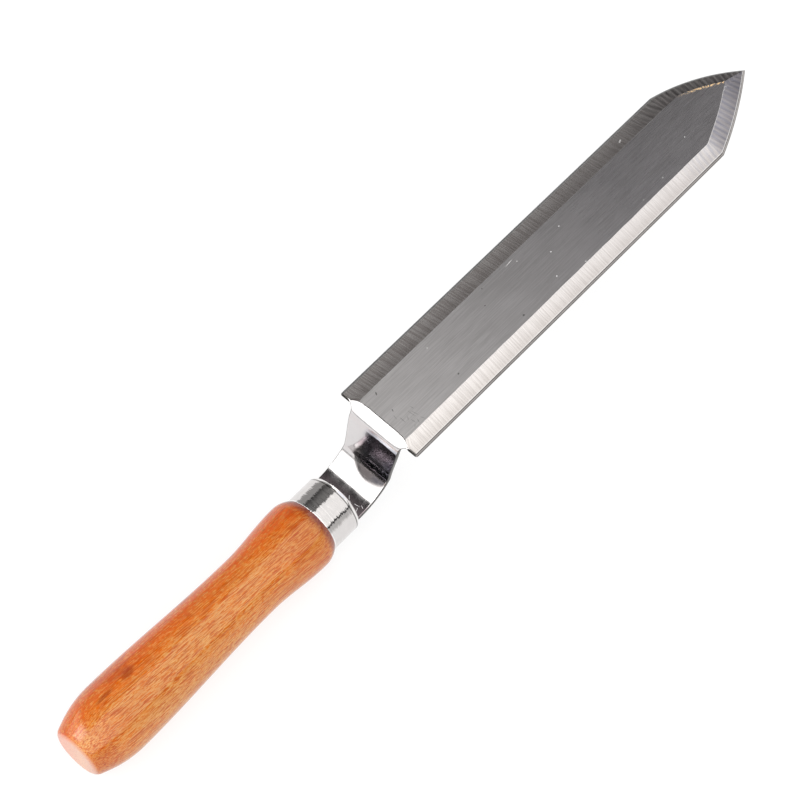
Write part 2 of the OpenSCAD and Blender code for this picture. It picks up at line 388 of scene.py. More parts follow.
def make_blade():
    """Skins the strip's rings from the tang's end to the tip, with a material for each band of faces."""
    verts, faces, sharp, slots, zones, edge_coords = [], [], [], [], [], []
    top_count = 2 * (HONE_STEPS + BEVEL_STEPS) + FLAT_STEPS + 1
    ring = top_count + BACK_STEPS + 1
    edge_bulge = heel_bulge(HALF_WIDTH)

    def add_ring(x, z, angle, section, zone, share=0.0, middle=None):
        """share moves a ring out by the bulge; middle is where its centre lies if it follows the bend."""
        left_y, right_y = section[0][0], section[-1][0]
        back = [left_y + (right_y - left_y) * (1 - i / BACK_STEPS) for i in range(BACK_STEPS + 1)]
        for y, depth in section + [(y, STRIP) for y in back]:
            place = [x + share * heel_bulge(y), z, angle]
            if middle:
                part = (heel_bulge(y) - edge_bulge) / (heel_bulge(0) - edge_bulge)
                place = [a + (b - a) * part for a, b in zip((x, z, angle), middle)]
            normal = Vector((math.cos(place[2]), 0, math.sin(place[2])))
            verts.append(Vector((place[0], y, place[1])) - normal * depth)
            side = LEFT if y > 0 else RIGHT
            edge_coords.append((along_edge(side, x, y) * 100, edge_distance(side, x, y) * 100))
        zones.append(zone)

    for x, z, angle, section, zone in strip_stations():
        middle = full_bend(zones.count("bend")) if zone == "bend" else None
        add_ring(x, z, angle, section, zone, middle=middle)
    heel_ring = len(zones) - 1
    for x in blade_stations():
        past = x - HEEL_X
        grind = smoothstep(0, 0.9 * MM, past)
        section = [(y, depth * (0.35 + 0.65 * grind)) for y, depth in blade_section(x)]
        share = 1 - smoothstep(0.5 * MM, 7 * MM, past)
        # Painted shade: the first 0.3 mm past the heel takes the dark edge material, a dark line along the
        # heel's tight edge.
        zone = "line" if past < 0.3 * MM else "blade"
        add_ring(x, COMB_Z, math.pi / 2, section, zone, share)

    inner_l = HONE_STEPS + BEVEL_STEPS
    strip_corners = {top_count, ring - 1}
    ground_lines = strip_corners | {0, top_count - 1, HONE_STEPS, inner_l}
    ground_lines |= {inner_l + FLAT_STEPS, inner_l + FLAT_STEPS + BEVEL_STEPS}
    for i in range(len(zones) - 1):
        on_blade = zones[i + 1] == "blade"
        a, b = i * ring, (i + 1) * ring
        for k in range(ring):
            j = (k + 1) % ring
            faces.append((a + k, b + k, b + j, a + j))
            # Painted shade along the heel's edge.
            if zones[i + 1] == "line":
                slot = "rolled_edge"
            else:
                slot = face_slot(k, top_count) if on_blade else strip_slot(k, top_count)
            slots.append(SLOTS.index(slot))
            if k in (ground_lines if on_blade else strip_corners):
                sharp.append((a + k, b + k))
    tang_ring = zones.index("neck") - 1
    for i in (0, tang_ring, tang_ring + 1, heel_ring, heel_ring + 1):
        sharp += [(i * ring + k, i * ring + (k + 1) % ring) for k in range(ring)]
    last = (len(zones) - 1) * ring
    faces += [tuple(reversed(range(ring))), tuple(last + k for k in range(ring))]
    slots += [SLOTS.index("neck"), SLOTS.index("right_hone")]
    piece = object_from("blade_strip", verts, faces, sharp, slots)
    planar_uv(piece)
    edge_uv(piece, edge_coords)
    return piece


# ---------------------------------------------------------------- turned pieces

def turned(name, outline, segments=160):
    """Turns an outline of (x, radius) about the handle's axis. Radius 0 at both ends closes it."""
    verts, faces, rings = [], [], []
    for x, r in outline:
        if r <= 0:
            rings.append([len(verts)])
            verts.append((x, 0, AXIS_Z))
            continue
        rings.append(list(range(len(verts), len(verts) + segments)))
        for i in range(segments):
            a = 2 * math.pi * i / segments
            verts.append((x, r * math.sin(a), AXIS_Z + r * math.cos(a)))
    for a, b in zip(rings, rings[1:]):
        for i in range(segments):
            j = (i + 1) % segments
            corners = [a[i % len(a)], a[j % len(a)], b[j % len(b)], b[i % len(b)]]
            faces.append(tuple(dict.fromkeys(corners)))
    return object_from(name, verts, faces)


def sharpen(piece, degrees):
    piece.data.set_sharp_from_angle(angle=math.radians(degrees))


def arc(cx, cr, radius, start, end, steps):
    """Points of an arc in the (x, radius) plane; angles in degrees from +X."""
    points = []
    for i in range(steps + 1):
        a = math.radians(start + (end - start) * i / steps)
        points.append((cx + radius * math.cos(a), cr + radius * math.sin(a)))
    return points


def ease(x0, r0, x1, r1, steps=48):
    """Points of a half cosine wave between two places, without its ends."""
    points = []
    for i in range(1, steps):
        t = i / steps
        points.append((x0 + (x1 - x0) * t, r0 + (r1 - r0) * (1 - math.cos(math.pi * t)) / 2))
    return points


def make_handle():
    """The turned grip from the butt to the spigot inside the ferrule, with its drilled bore."""
    butt_r, butt_flat = 3.5 * MM, 8.5 * MM
    crown_x, crown_r = BUTT_X + 21 * MM, 45 * MM
    waist_x, waist_r = FERRULE_REAR_X - 35 * MM, 13.45 * MM
    swell_x, swell_r = FERRULE_REAR_X - 6.7 * MM, 15.45 * MM
    end_r = FERRULE_R + 0.05 * MM
    fall, reach = swell_r - end_r, 6.7 * MM
    round_r = (reach * reach + fall * fall) / (2 * fall)
    spigot_r = FERRULE_R - 0.85 * MM
    bore_r, bore_end = 6.5 * MM, SPIGOT_FACE_X - 76 * MM
    drill_point = bore_r / math.tan(math.radians(59))
    crown = math.degrees(math.asin((crown_x - BUTT_X - butt_r) / crown_r))
    outline = [(BUTT_X, 0), (BUTT_X, butt_flat * 0.5), (BUTT_X, butt_flat * 0.9)]
    outline += arc(BUTT_X + butt_r, butt_flat, butt_r, 180, 90 + crown, 16)
    outline += arc(crown_x, AXIS_Z - crown_r, crown_r, 90 + crown - 1.5, 90, 30)
    outline += ease(crown_x, AXIS_Z, waist_x, waist_r)
    outline += ease(waist_x, waist_r, swell_x, swell_r)
    shoulder = math.degrees(math.asin(reach / round_r))
    outline += arc(swell_x, swell_r - round_r, round_r, 90, 90 - shoulder, 20)
    outline += [(FERRULE_REAR_X, spigot_r), (SPIGOT_FACE_X, spigot_r), (SPIGOT_FACE_X, bore_r)]
    outline += [(bore_end + drill_point, bore_r), (bore_end, 0)]
    piece = turned("turned_handle", outline)
    sharpen(piece, 28)
    return piece


def make_ferrule():
    """The drawn cup, open at the back, with the tang's slot in its front plate."""
    wall, shoulder, lip, slot_gap = 0.8 * MM, 2 * MM, 0.25 * MM, 0.1 * MM
    inner = FERRULE_R - wall
    front = FERRULE_FACE_X
    outline = [(front - wall, 0)]
    outline += arc(front - shoulder, inner - shoulder + wall, shoulder - wall, 0, 90, 8)
    outline += [(FERRULE_REAR_X, inner), (FERRULE_REAR_X, FERRULE_R - lip)]
    outline += arc(FERRULE_REAR_X + lip, FERRULE_R - lip, lip, 180, 90, 5)[1:]
    outline += [(FERRULE_REAR_X + 5 * MM, FERRULE_R), (FERRULE_REAR_X + 9 * MM, FERRULE_R)]
    outline += arc(front - shoulder, FERRULE_R - shoulder, shoulder, 90, 0, 20)
    outline += [(front, 0)]
    piece = turned("drawn_ferrule", outline, 192)
    cut_slot(piece, front, TANG_HALF + slot_gap, STRIP / 2 + slot_gap)
    sharpen(piece, 28)
    return piece


def cut_slot(piece, x, half_y, half_z):
    """Cuts the tang's slot through the ferrule's front plate."""
    maker = bmesh.new()
    bmesh.ops.create_cube(maker, size=1)
    bmesh.ops.scale(maker, verts=maker.verts, vec=(4 * MM, 2 * half_y, 2 * half_z))
    bmesh.ops.translate(maker, verts=maker.verts, vec=(x, 0, AXIS_Z))
    mesh = bpy.data.meshes.new("slot_tool")
    maker.to_mesh(mesh)
    maker.free()
    tool = bpy.data.objects.new("slot_tool", mesh)
    bpy.context.scene.collection.objects.link(tool)
    cut = piece.modifiers.new("slot", "BOOLEAN")
    cut.operation = "DIFFERENCE"
    cut.solver = "EXACT"
    cut.object = tool
    done = bpy.data.meshes.new_from_object(piece.evaluated_get(bpy.context.evaluated_depsgraph_get()))
    piece.modifiers.clear()
    piece.data = done
    bpy.data.objects.remove(tool)
    piece.data.shade_smooth()


# ---------------------------------------------------------------- materials

class Nodes:
    """Builds the nodes of a material or of the world with short calls."""

    def __init__(self, tree):
        self.tree = tree

    def node(self, kind, inputs=None, **settings):
        made = self.tree.nodes.new(kind)
        for key, value in settings.items():
            setattr(made, key, value)
        for key, value in (inputs or {}).items():
            self.put(made.inputs[key], value)
        return made

    def put(self, socket, value):
        if isinstance(value, bpy.types.NodeSocket):
            self.tree.links.new(value, socket)
        else:
            socket.default_value = value

    def remap(self, value, lo, hi, to_lo=0.0, to_hi=1.0, smooth=True):
        """Takes lo to to_lo and hi to to_hi, and holds beyond them."""
        made = self.node(
            "ShaderNodeMapRange",
            {"Value": value, "From Min": lo, "From Max": hi, "To Min": to_lo, "To Max": to_hi},
            interpolation_type="SMOOTHSTEP" if smooth else "LINEAR",
        )
        return made.outputs[0]

    def math(self, operation, a, b=0.0):
        made = self.node("ShaderNodeMath", operation=operation)
        self.put(made.inputs[0], a)
        self.put(made.inputs[1], b)
        return made.outputs[0]

    def mix(self, factor, a, b, blend="MIX"):
        made = self.node("ShaderNodeMix", data_type="RGBA", blend_type=blend)
        self.put(made.inputs["Factor"], factor)
        self.put(made.inputs["A"], a)
        self.put(made.inputs["B"], b)
        return made.outputs["Result"]

    def blend(self, factor, low, high):
        """The same for plain numbers."""
        inputs = {"Factor": factor, "A": low, "B": high}
        return self.node("ShaderNodeMix", inputs, data_type="FLOAT").outputs[0]


class Shader(Nodes):
    """A Principled material, with the patterns that the knife's surfaces share."""

    def __init__(self, name):
        self.material = bpy.data.materials.new(name)
        self.material.use_nodes = True
        super().__init__(self.material.node_tree)
        self.bsdf = self.tree.nodes["Principled BSDF"]

    def set(self, **values):
        """Sets the Principled shader's own sockets."""
        for key, value in values.items():
            self.put(self.bsdf.inputs[key.replace("_", " ")], value)

    def place(self, scale=(1, 1, 1), turn=(0, 0, 0), move=(0, 0, 0)):
        """Object coordinates in metres, turned and then stretched."""
        coords = self.node("ShaderNodeTexCoord").outputs["Object"]
        turned_coords = self.node("ShaderNodeMapping", {"Vector": coords, "Rotation": turn, "Location": move})
        mapping = self.node("ShaderNodeMapping", {"Vector": turned_coords.outputs[0], "Scale": scale})
        return mapping.outputs[0]

    def edge_place(self, scale, turn=0.0):
        """Coordinates along and in from the cutting edge, in centimetres, turned and then stretched."""
        coords = self.node("ShaderNodeUVMap", uv_map="Edge").outputs[0]
        sheared = self.node("ShaderNodeMapping", {"Vector": coords, "Rotation": (0, 0, turn)})
        return self.node("ShaderNodeMapping", {"Vector": sheared.outputs[0], "Scale": scale}).outputs[0]

    def inset(self):
        """Distance in from the cutting edge, in millimetres."""
        coords = self.node("ShaderNodeUVMap", uv_map="Edge").outputs[0]
        across = self.node("ShaderNodeSeparateXYZ", {"Vector": coords}).outputs["Y"]
        return self.math("MULTIPLY", across, 10.0)

    def line(self, value, at, half):
        """1 where value is within half of at, falling to 0 on either side."""
        off = self.math("ABSOLUTE", self.math("SUBTRACT", value, at))
        return self.remap(off, half * 0.4, half, 1.0, 0.0)

    def oval(self, centre, size, degrees, core, rim):
        """1 within core times the size round the centre, falling to 0 at rim times the size."""
        inputs = {
            "Vector": self.node("ShaderNodeTexCoord").outputs["Object"],
            "Location": centre,
            "Rotation": (0, 0, math.radians(degrees)),
            "Scale": size,
        }
        local = self.node("ShaderNodeMapping", inputs, vector_type="TEXTURE").outputs[0]
        reach = self.node("ShaderNodeVectorMath", {0: local}, operation="LENGTH").outputs["Value"]
        return self.remap(reach, core, rim, 1.0, 0.0)

    def mark(self, x, y, length, width, degrees):
        """A soft oval on the blade, given in millimetres from the heel and the centre line."""
        centre = (HEEL_X + x * MM, y * MM, COMB_Z)
        return self.oval(centre, (length / 2 * MM, width / 2 * MM, 1), degrees, 0.55, 1.0)

    def spot(self, x, y, length, width, degrees):
        """A soft oval on top of the handle, in millimetres from the butt and the centre line."""
        centre = (BUTT_X + x * MM, y * MM, AXIS_Z + 14 * MM)
        return self.oval(centre, (length * MM, width * MM, 12 * MM), degrees, 0.3, 1.1)

    def marks(self, places):
        """All the marks of a list at once."""
        total = self.mark(*places[0])
        for place in places[1:]:
            total = self.math("MAXIMUM", total, self.mark(*place))
        return total

    def noise(self, vector, detail=2.0, roughness=0.5, distortion=0.0):
        inputs = {"Vector": vector, "Scale": 1.0, "Detail": detail}
        inputs |= {"Roughness": roughness, "Distortion": distortion}
        return self.node("ShaderNodeTexNoise", inputs).outputs["Fac"]

    def bump(self, height, strength, distance, normal=None):
        inputs = {"Height": height, "Strength": strength, "Distance": distance}
        if normal is not None:
            inputs["Normal"] = normal
        return self.node("ShaderNodeBump", inputs).outputs[0]

    def axis(self, name):
        """One object coordinate, in metres."""
        coords = self.node("ShaderNodeTexCoord").outputs["Object"]
        return self.node("ShaderNodeSeparateXYZ", {"Vector": coords}).outputs[name]


def rgb(r, g, b):
    return (r, g, b, 1.0)


STEEL_DARK = rgb(0.63, 0.61, 0.605)
STEEL = rgb(0.77, 0.745, 0.745)
STEEL_LIGHT = rgb(0.86, 0.82, 0.79)

# Wear on the flat and the neck, each mark in millimetres and degrees: its distance from the heel and
# from the centre line, its length and width, and its turn.
PITS = [
    (38, -8, 1.1, 0.8, 20), (76, -9.5, 1.3, 1.0, 0), (68.5, 4.5, 0.8, 0.6, 0),
    (73.5, 10.5, 0.8, 0.6, 30), (9, 9.5, 2.0, 0.7, 60), (8, 0, 1.6, 0.5, 70),
]
HEEL_SCRATCHES = [
    (6.4, -2.8, 3.0, 0.3, 78), (7.6, -5.6, 3.8, 0.4, 88), (9.6, -6.6, 2.2, 0.35, 55),
    (10.2, -8.9, 2.8, 0.35, 98), (12.1, -6.3, 4.6, 0.3, 96), (13.2, -7.0, 4.0, 0.3, 104),
    (11.6, -10.2, 2.4, 0.4, 70), (13.8, -10.6, 2.6, 0.3, 112), (9.0, -10.8, 1.6, 0.3, 30),
    (14.2, -4.6, 2.2, 0.3, 100),
]
NECK_SCRATCHES = [
    (-19, -5, 3.8, 0.4, 60), (-18, -7.5, 3.2, 0.35, 100), (-19.5, -8.8, 2.8, 0.35, 20),
    (-17.6, -3, 2.2, 0.3, 45), (-19.6, 1, 1.8, 0.3, 80), (-18.4, 5, 1.5, 0.3, 10),
    (-20.2, 8.5, 2.0, 0.3, 50), (-17.2, -9.6, 1.8, 0.3, 70),
]
SPECKS = [
    (117.5, 7, 0.8, 0.6, 0), (106, 1.5, 0.8, 0.6, 0), (99, -7.5, 0.9, 0.6, 40),
    (112.5, -11.5, 0.9, 0.7, 0), (151.5, -10, 0.6, 0.5, 0), (165.5, -9, 0.8, 0.6, 0),
    (187.5, -3, 0.8, 0.5, 45), (38, 8.5, 0.6, 0.5, 0), (90, 10.4, 5.5, 0.35, 4),
    (93, 8.6, 0.7, 0.5, 0),
]
LEFT_BEVEL_DENT = (167, 15.2, 2.2, 1.0, 20)
# Darker knots in the handle: millimetres from the butt and the centre line, half length, half width, turn.
KNOTS = [(20, 4.5, 5.5, 1.1, 0), (33, 5.0, 4.5, 2.6, 15)]


def flat_steel(name, worn):
    """Satin steel brushed along the blade, darker towards the tip as a painted reflection; worn adds the
    face's pits, scratches, specks and gold dust.
    """
    s = Shader(name)
    lines = s.noise(s.place((55, 2300, 2300)), detail=4, roughness=0.65)
    hair = s.noise(s.place((110, 5200, 5200)), detail=1)
    cloud = s.noise(s.place((30, 70, 70)), detail=3)
    toward_tip = s.remap(s.axis("X"), HEEL_X, TIP_X - 30 * MM, smooth=False)
    tone = s.math("ADD", s.math("MULTIPLY", lines, 0.7), s.math("MULTIPLY", cloud, 0.3))
    colour = s.mix(s.remap(tone, 0.40, 0.60), STEEL_DARK, STEEL)
    # Painted reflection: the flat's colour darkens along the blade towards the tip.
    painted_reflection_toward_tip = s.remap(s.axis("X"), HEEL_X, HEEL_X + 150 * MM, smooth=False)
    colour = s.mix(painted_reflection_toward_tip, colour, rgb(0.50, 0.495, 0.515), "MULTIPLY")
    grain = s.remap(hair, 0.3, 0.7, -0.03, 0.03)
    rough = s.math("ADD", grain, s.remap(toward_tip, 0, 1, 0.36, 0.27, False))
    if worn:
        dark = s.math("MAXIMUM", s.marks(PITS), s.math("MULTIPLY", s.marks(HEEL_SCRATCHES), 0.55))
        colour = s.mix(s.math("MULTIPLY", dark, 0.8), colour, rgb(0.10, 0.095, 0.09))
        glint = s.marks(SPECKS)
        colour = s.mix(s.math("MULTIPLY", glint, 0.7), colour, rgb(0.95, 0.95, 0.94))
        rough = s.math("ADD", rough, s.math("MULTIPLY", glint, 0.35))
        dots = s.remap(s.noise(s.place((1300, 1300, 1300)), detail=0), 0.46, 0.56)
        past = s.remap(s.axis("X"), SHOULDER_X + 6 * MM, SHOULDER_X + 16 * MM)
        by_bevel = s.line(s.inset(), 5.85, 0.7)
        gold = s.math("MULTIPLY", s.math("MULTIPLY", dots, past), by_bevel)
        gold = s.math("MULTIPLY", gold, s.remap(s.axis("Y"), 0.0, 0.5 * MM))
        colour = s.mix(gold, colour, rgb(1.0, 0.72, 0.42))
        rough = s.math("ADD", rough, s.math("MULTIPLY", gold, 0.3))
    s.set(
        Metallic=1.0,
        Base_Color=colour,
        Roughness=rough,
        Anisotropic=0.55,
        Normal=s.bump(hair, 0.25, 0.00002, s.bump(lines, 0.2, 0.00003)),
    )
    s.set(Tangent=s.node("ShaderNodeTangent", direction_type="UV_MAP", uv_map="UVMap").outputs[0])
    return s.material


# The wave texture's scale for stripes one centimetre wide: at scale 1 it repeats every pi/10, and a
# stripe is half of that.
STRIPE_SCALE = math.pi / 20


def bevel_steel(name, side, tint, tip_reflection_tint, across_reflection_tint, stripe_tint, roughness, stripe, slant):
    """Ground across the edge: fine cross lines everywhere, and even grinder stripes towards the tip.

    tint is the light and the dark steel, stripe a stripe's width in centimetres, slant in radians.
    The tints towards the tip and across the bevel's width, and the right bevel's darkening past the shoulder
    and at the tip, are painted reflection; the light lines along the bevel's edges are painted highlights.
    """
    s = Shader(name)
    fine = s.noise(s.edge_place((15, 0.5, 1), slant), detail=2, roughness=0.6)
    broad = s.noise(s.edge_place((5, 1.0, 1), slant), detail=2)
    wave = {"Vector": s.edge_place((1, 1, 1), slant * 3), "Scale": STRIPE_SCALE / stripe}
    wave |= {"Distortion": 0.9, "Detail": 2.0, "Detail Scale": 1.5}
    stripes = s.node("ShaderNodeTexWave", wave, bands_direction="X").outputs["Fac"]
    near_tip = s.remap(s.axis("X"), SHOULDER_X - 30 * MM, SHOULDER_X + 8 * MM)
    stripes = s.math("MULTIPLY", stripes, near_tip)
    light, dark = tint
    colour = s.mix(s.remap(fine, 0.36, 0.64), dark, light)
    clouding = s.remap(broad, 0.4, 0.65, 0.0, 0.3 if side == LEFT else 0.12)
    colour = s.mix(clouding, colour, rgb(0.88, 0.88, 0.88), "MULTIPLY")
    stripe_share = s.math("MULTIPLY", stripes, s.remap(broad, 0.3, 0.6, 0.5, 1.0))
    colour = s.mix(stripe_share, colour, stripe_tint, "MULTIPLY")
    # Painted reflection: darker towards the tip.
    toward_tip = s.remap(s.axis("X"), HEEL_X, TIP_X, smooth=False)
    colour = s.mix(toward_tip, colour, tip_reflection_tint, "MULTIPLY")
    if side == RIGHT:
        # Painted reflection: the right bevel is darker past the shoulder and near the tip.
        past = s.remap(s.axis("X"), SHOULDER_X - 4 * MM, SHOULDER_X + 5 * MM)
        colour = s.mix(past, colour, rgb(0.60, 0.60, 0.63), "MULTIPLY")
        painted_tip_reflection = s.remap(s.axis("X"), TIP_X - 27 * MM, TIP_X - 8 * MM)
        colour = s.mix(painted_tip_reflection, colour, rgb(0.68, 0.68, 0.70), "MULTIPLY")
    inset = s.inset()
    outer, inner = (0.0, 1.0) if side == LEFT else (1.0, 0.0)
    # Painted reflection: darker across the bevel, towards its inner line on the left and its outer line on
    # the right.
    colour = s.mix(s.remap(inset, 1.5, 7.0, outer, inner), colour, across_reflection_tint, "MULTIPLY")
    # Painted highlights: light lines along the bevel's outer and inner edges.
    painted_edge_highlights = s.math("MAXIMUM", s.line(inset, 1.05, 0.3), s.math("MULTIPLY", s.line(inset, 7.85, 0.25), 0.6))
    colour = s.mix(s.math("MULTIPLY", painted_edge_highlights, 0.6), colour, rgb(0.95, 0.94, 0.93))
    if side == LEFT:
        dent = s.mark(*LEFT_BEVEL_DENT)
        torn = s.math("MULTIPLY", dent, s.remap(fine, 0.4, 0.6, 0.3, 1.0))
        colour = s.mix(torn, colour, rgb(1, 1, 1))
        roughness = s.math("ADD", s.math("MULTIPLY", dent, 0.3), roughness)
    s.set(
        Metallic=1.0,
        Base_Color=colour,
        Roughness=roughness,
        Normal=s.bump(s.math("ADD", fine, stripes), 0.25, 0.00005),
    )
    return s.material


def hone_steel(name, dark, light):
    """A narrow dark edge with one lighter line along it: the dark is painted shade and reflection, the
    lighter line a painted highlight.
    """
    s = Shader(name)
    fine = s.noise(s.place((2600, 300, 300)), detail=2)
    groove = s.noise(s.edge_place((0.8, 60, 1)), detail=1)
    # Painted highlight: a lighter line along the edge.
    painted_ridge_highlight = s.math("MULTIPLY", s.line(s.inset(), 0.45, 0.32), s.remap(groove, 0.3, 0.6, 0.6, 1.0))
    colour = s.mix(painted_ridge_highlight, dark, light)
    s.set(
        Metallic=1.0,
        Base_Color=colour,
        Roughness=s.remap(fine, 0.3, 0.7, 0.28, 0.42),
        Normal=s.bump(fine, 0.3, 0.00003),
    )
    return s.material


def neck_steel():
    """Polished steel, with a painted dark reflection on the lower half of the web, and darker and purplish
    next to the ferrule.
    """
    s = Shader("polished_neck")
    hair = s.noise(s.place((40, 2400, 40)), detail=3)
    cross = s.noise(s.place((900, 200, 900), turn=(0.2, 0.1, 0.5)), detail=2)
    swell = s.noise(s.place((110, 110, 110)), detail=1)
    smear = s.noise(s.place((260, 260, 260)), detail=3)
    scratch = s.marks(NECK_SCRATCHES)
    colour = s.mix(smear, rgb(0.65, 0.625, 0.63), rgb(0.73, 0.71, 0.71))
    past_knee = s.remap(s.axis("X"), HEEL_X - 6.2 * MM, HEEL_X - 4.9 * MM)
    before_bend = s.remap(s.axis("X"), HEEL_X - 2.9 * MM, HEEL_X - 2.4 * MM, 1.0, 0.0)
    on_web = s.math("MULTIPLY", past_knee, before_bend)
    # Painted reflection: a dark, bluish patch on the web, fading out towards +Y.
    painted_dark_reflection = s.math("MULTIPLY", on_web, s.remap(s.axis("Y"), 0.5 * MM, 5.0 * MM, 1.0, 0.0))
    colour = s.mix(painted_dark_reflection, colour, rgb(0.78, 0.83, 0.92), "MULTIPLY")
    # Darker and purplish on the neck next to the ferrule.
    near_ferrule_tint = s.remap(s.axis("X"), FERRULE_FACE_X + 4.5 * MM, FERRULE_FACE_X + 8 * MM, 1.0, 0.0)
    colour = s.mix(near_ferrule_tint, colour, rgb(0.66, 0.58, 0.61), "MULTIPLY")
    s.set(
        Metallic=1.0,
        Base_Color=s.mix(s.math("MULTIPLY", scratch, 0.8), colour, rgb(0.97, 0.97, 0.97)),
        Roughness=s.math("ADD", s.remap(smear, 0.35, 0.7, 0.09, 0.15), s.math("MULTIPLY", scratch, 0.5)),
        Normal=s.bump(hair, 0.3, 0.00002, s.bump(swell, 0.15, 0.0003, s.bump(cross, 0.1, 0.00002))),
    )
    return s.material


def ferrule_plate():
    """Bright plate with drawing lines round it, painted highlights on its rims, painted shade for a groove
    near the front and a dull face.
    """
    s = Shader("bright_plate")
    drawn = s.noise(s.place((1400, 220, 220)), detail=3, distortion=0.3)
    bands = s.noise(s.place((420, 90, 90)), detail=1)
    smear = s.noise(s.place((300, 300, 300)), detail=3)
    # Painted highlights: light lines on the rear lip and on the front shoulder.
    rear_rim_highlight = s.line(s.axis("X"), FERRULE_REAR_X + 0.2 * MM, 0.5 * MM)
    rim = s.math("MAXIMUM", rear_rim_highlight, s.line(s.axis("X"), FERRULE_FACE_X - 1.3 * MM, 0.5 * MM))
    colour = s.mix(smear, rgb(0.62, 0.60, 0.595), rgb(0.74, 0.71, 0.70))
    colour = s.mix(s.math("MULTIPLY", rim, 0.7), colour, rgb(0.93, 0.92, 0.91))
    # Painted shade: a dark line for a groove that the mesh does not have.
    groove = s.line(s.axis("X"), FERRULE_FACE_X - 2.1 * MM, 0.35 * MM)
    colour = s.mix(s.math("MULTIPLY", groove, 0.8), colour, rgb(0.12, 0.115, 0.11))
    face = s.remap(s.axis("X"), FERRULE_FACE_X - 0.3 * MM, FERRULE_FACE_X - 0.1 * MM)
    colour = s.mix(face, colour, rgb(0.20, 0.19, 0.19))
    behind = s.remap(s.axis("X"), FERRULE_FACE_X - 2.6 * MM, FERRULE_FACE_X - 2 * MM, 1.0, 0.1)
    drawn = s.math("MULTIPLY", drawn, behind)
    s.set(
        Metallic=1.0,
        Base_Color=colour,
        Roughness=s.remap(smear, 0.35, 0.7, 0.05, 0.10),
        Normal=s.bump(drawn, 0.9, 0.0002, s.bump(bands, 0.6, 0.0004)),
    )
    return s.material


def varnished_wood():
    """Orange-brown hardwood, redder on the left and paler on the right, under a glossy varnish; the right
    side's extra paleness is painted sheen.
    """
    s = Shader("varnished_hardwood")
    left = s.remap(s.axis("Y"), -9 * MM, 12 * MM)
    lines = s.noise(s.place((90, 2400, 2400), turn=(0, 0, 0.06)), detail=3, distortion=0.2)
    flecks = s.noise(s.place((480, 2900, 2900), turn=(0, 0, 0.12)), detail=3, roughness=0.6)
    mottle = s.noise(s.place((620, 950, 950)), detail=3, distortion=0.4)
    figure = s.noise(s.place((20, 85, 85), turn=(0, 0, 0.15)), detail=3, distortion=0.6)
    blotch = s.noise(s.place((48, 120, 120)), detail=3, distortion=0.9)
    deep, warm, pale = rgb(0.60, 0.080, 0.002), rgb(0.68, 0.135, 0.003), rgb(0.56, 0.185, 0.024)
    # Painted sheen: the wood is pushed paler towards the right side.
    painted_sheen_right = s.remap(left, 0.1, 0.8, 0.4, 0.0)
    toward_pale = s.math("ADD", s.remap(figure, 0.32, 0.66, 0.0, 0.55), painted_sheen_right)
    wood = s.mix(toward_pale, warm, pale)
    fleck_share = s.math("MULTIPLY", s.remap(flecks, 0.44, 0.58), s.remap(left, 0.2, 0.9, 0.85, 0.5))
    wood = s.mix(fleck_share, wood, rgb(0.66, 0.345, 0.105))
    wood = s.mix(s.remap(lines, 0.49, 0.58, 0.0, 0.85), wood, rgb(0.44, 0.070, 0.004))
    streaks = s.noise(s.place((75, 2900, 2900), turn=(0, 0, 0.06)), detail=2)
    pale_streaks = s.math("MULTIPLY", s.remap(streaks, 0.50, 0.60), s.remap(left, 0.2, 0.9, 0.5, 0.2))
    wood = s.mix(pale_streaks, wood, rgb(0.72, 0.40, 0.14))
    toward_ferrule = s.remap(s.axis("X"), FERRULE_REAR_X - 40 * MM, FERRULE_REAR_X - 8 * MM)
    wood = s.mix(toward_ferrule, wood, rgb(0.90, 0.74, 0.60), "MULTIPLY")
    red = s.math("MULTIPLY", s.remap(mottle, 0.38, 0.60), s.remap(left, 0.25, 1.0, 0.08, 0.8))
    wood = s.mix(red, wood, deep)
    dark = s.math("MULTIPLY", s.remap(blotch, 0.56, 0.72), s.remap(left, 0.0, 1.0, 0.2, 0.6))
    wood = s.mix(dark, wood, rgb(0.40, 0.050, 0.006))
    knots = s.math("MAXIMUM", *(s.spot(*knot) for knot in KNOTS))
    knot_share = s.math("MULTIPLY", knots, s.remap(mottle, 0.2, 0.6, 0.5, 0.8))
    wood = s.mix(knot_share, wood, rgb(0.32, 0.045, 0.010))
    butt_end = s.remap(s.axis("X"), BUTT_X + 5 * MM, BUTT_X + 17 * MM, 1.0, 0.0)
    by_butt = s.math("MULTIPLY", butt_end, s.remap(s.axis("Y"), -10 * MM, -3 * MM, 1.0, 0.0))
    wood = s.mix(by_butt, wood, rgb(0.86, 0.66, 0.50), "MULTIPLY")
    ferrule_end = s.remap(s.axis("X"), FERRULE_REAR_X - 5 * MM, FERRULE_REAR_X - 0.3 * MM)
    ring = s.math("MULTIPLY", ferrule_end, s.remap(mottle, 0.25, 0.6, 0.6, 1.0))
    wood = s.mix(ring, wood, rgb(0.20, 0.030, 0.018))
    # Paler flat butt face: lighter end grain, and partly a painted reflection.
    butt_face_grain_and_sheen = s.remap(s.axis("X"), BUTT_X + 0.2 * MM, BUTT_X + 1.0 * MM, 0.35, 0.0)
    wood = s.mix(butt_face_grain_and_sheen, wood, rgb(0.72, 0.52, 0.46))
    s.set(
        Base_Color=wood,
        Roughness=s.remap(lines, 0.4, 0.7, 0.45, 0.6),
        Coat_Weight=1.0,
        Coat_Roughness=0.13,
        Coat_IOR=1.5,
        Specular_IOR_Level=0.0,
        Normal=s.bump(lines, 0.25, 0.0001, s.bump(mottle, 0.12, 0.0001)),
    )
    return s.material


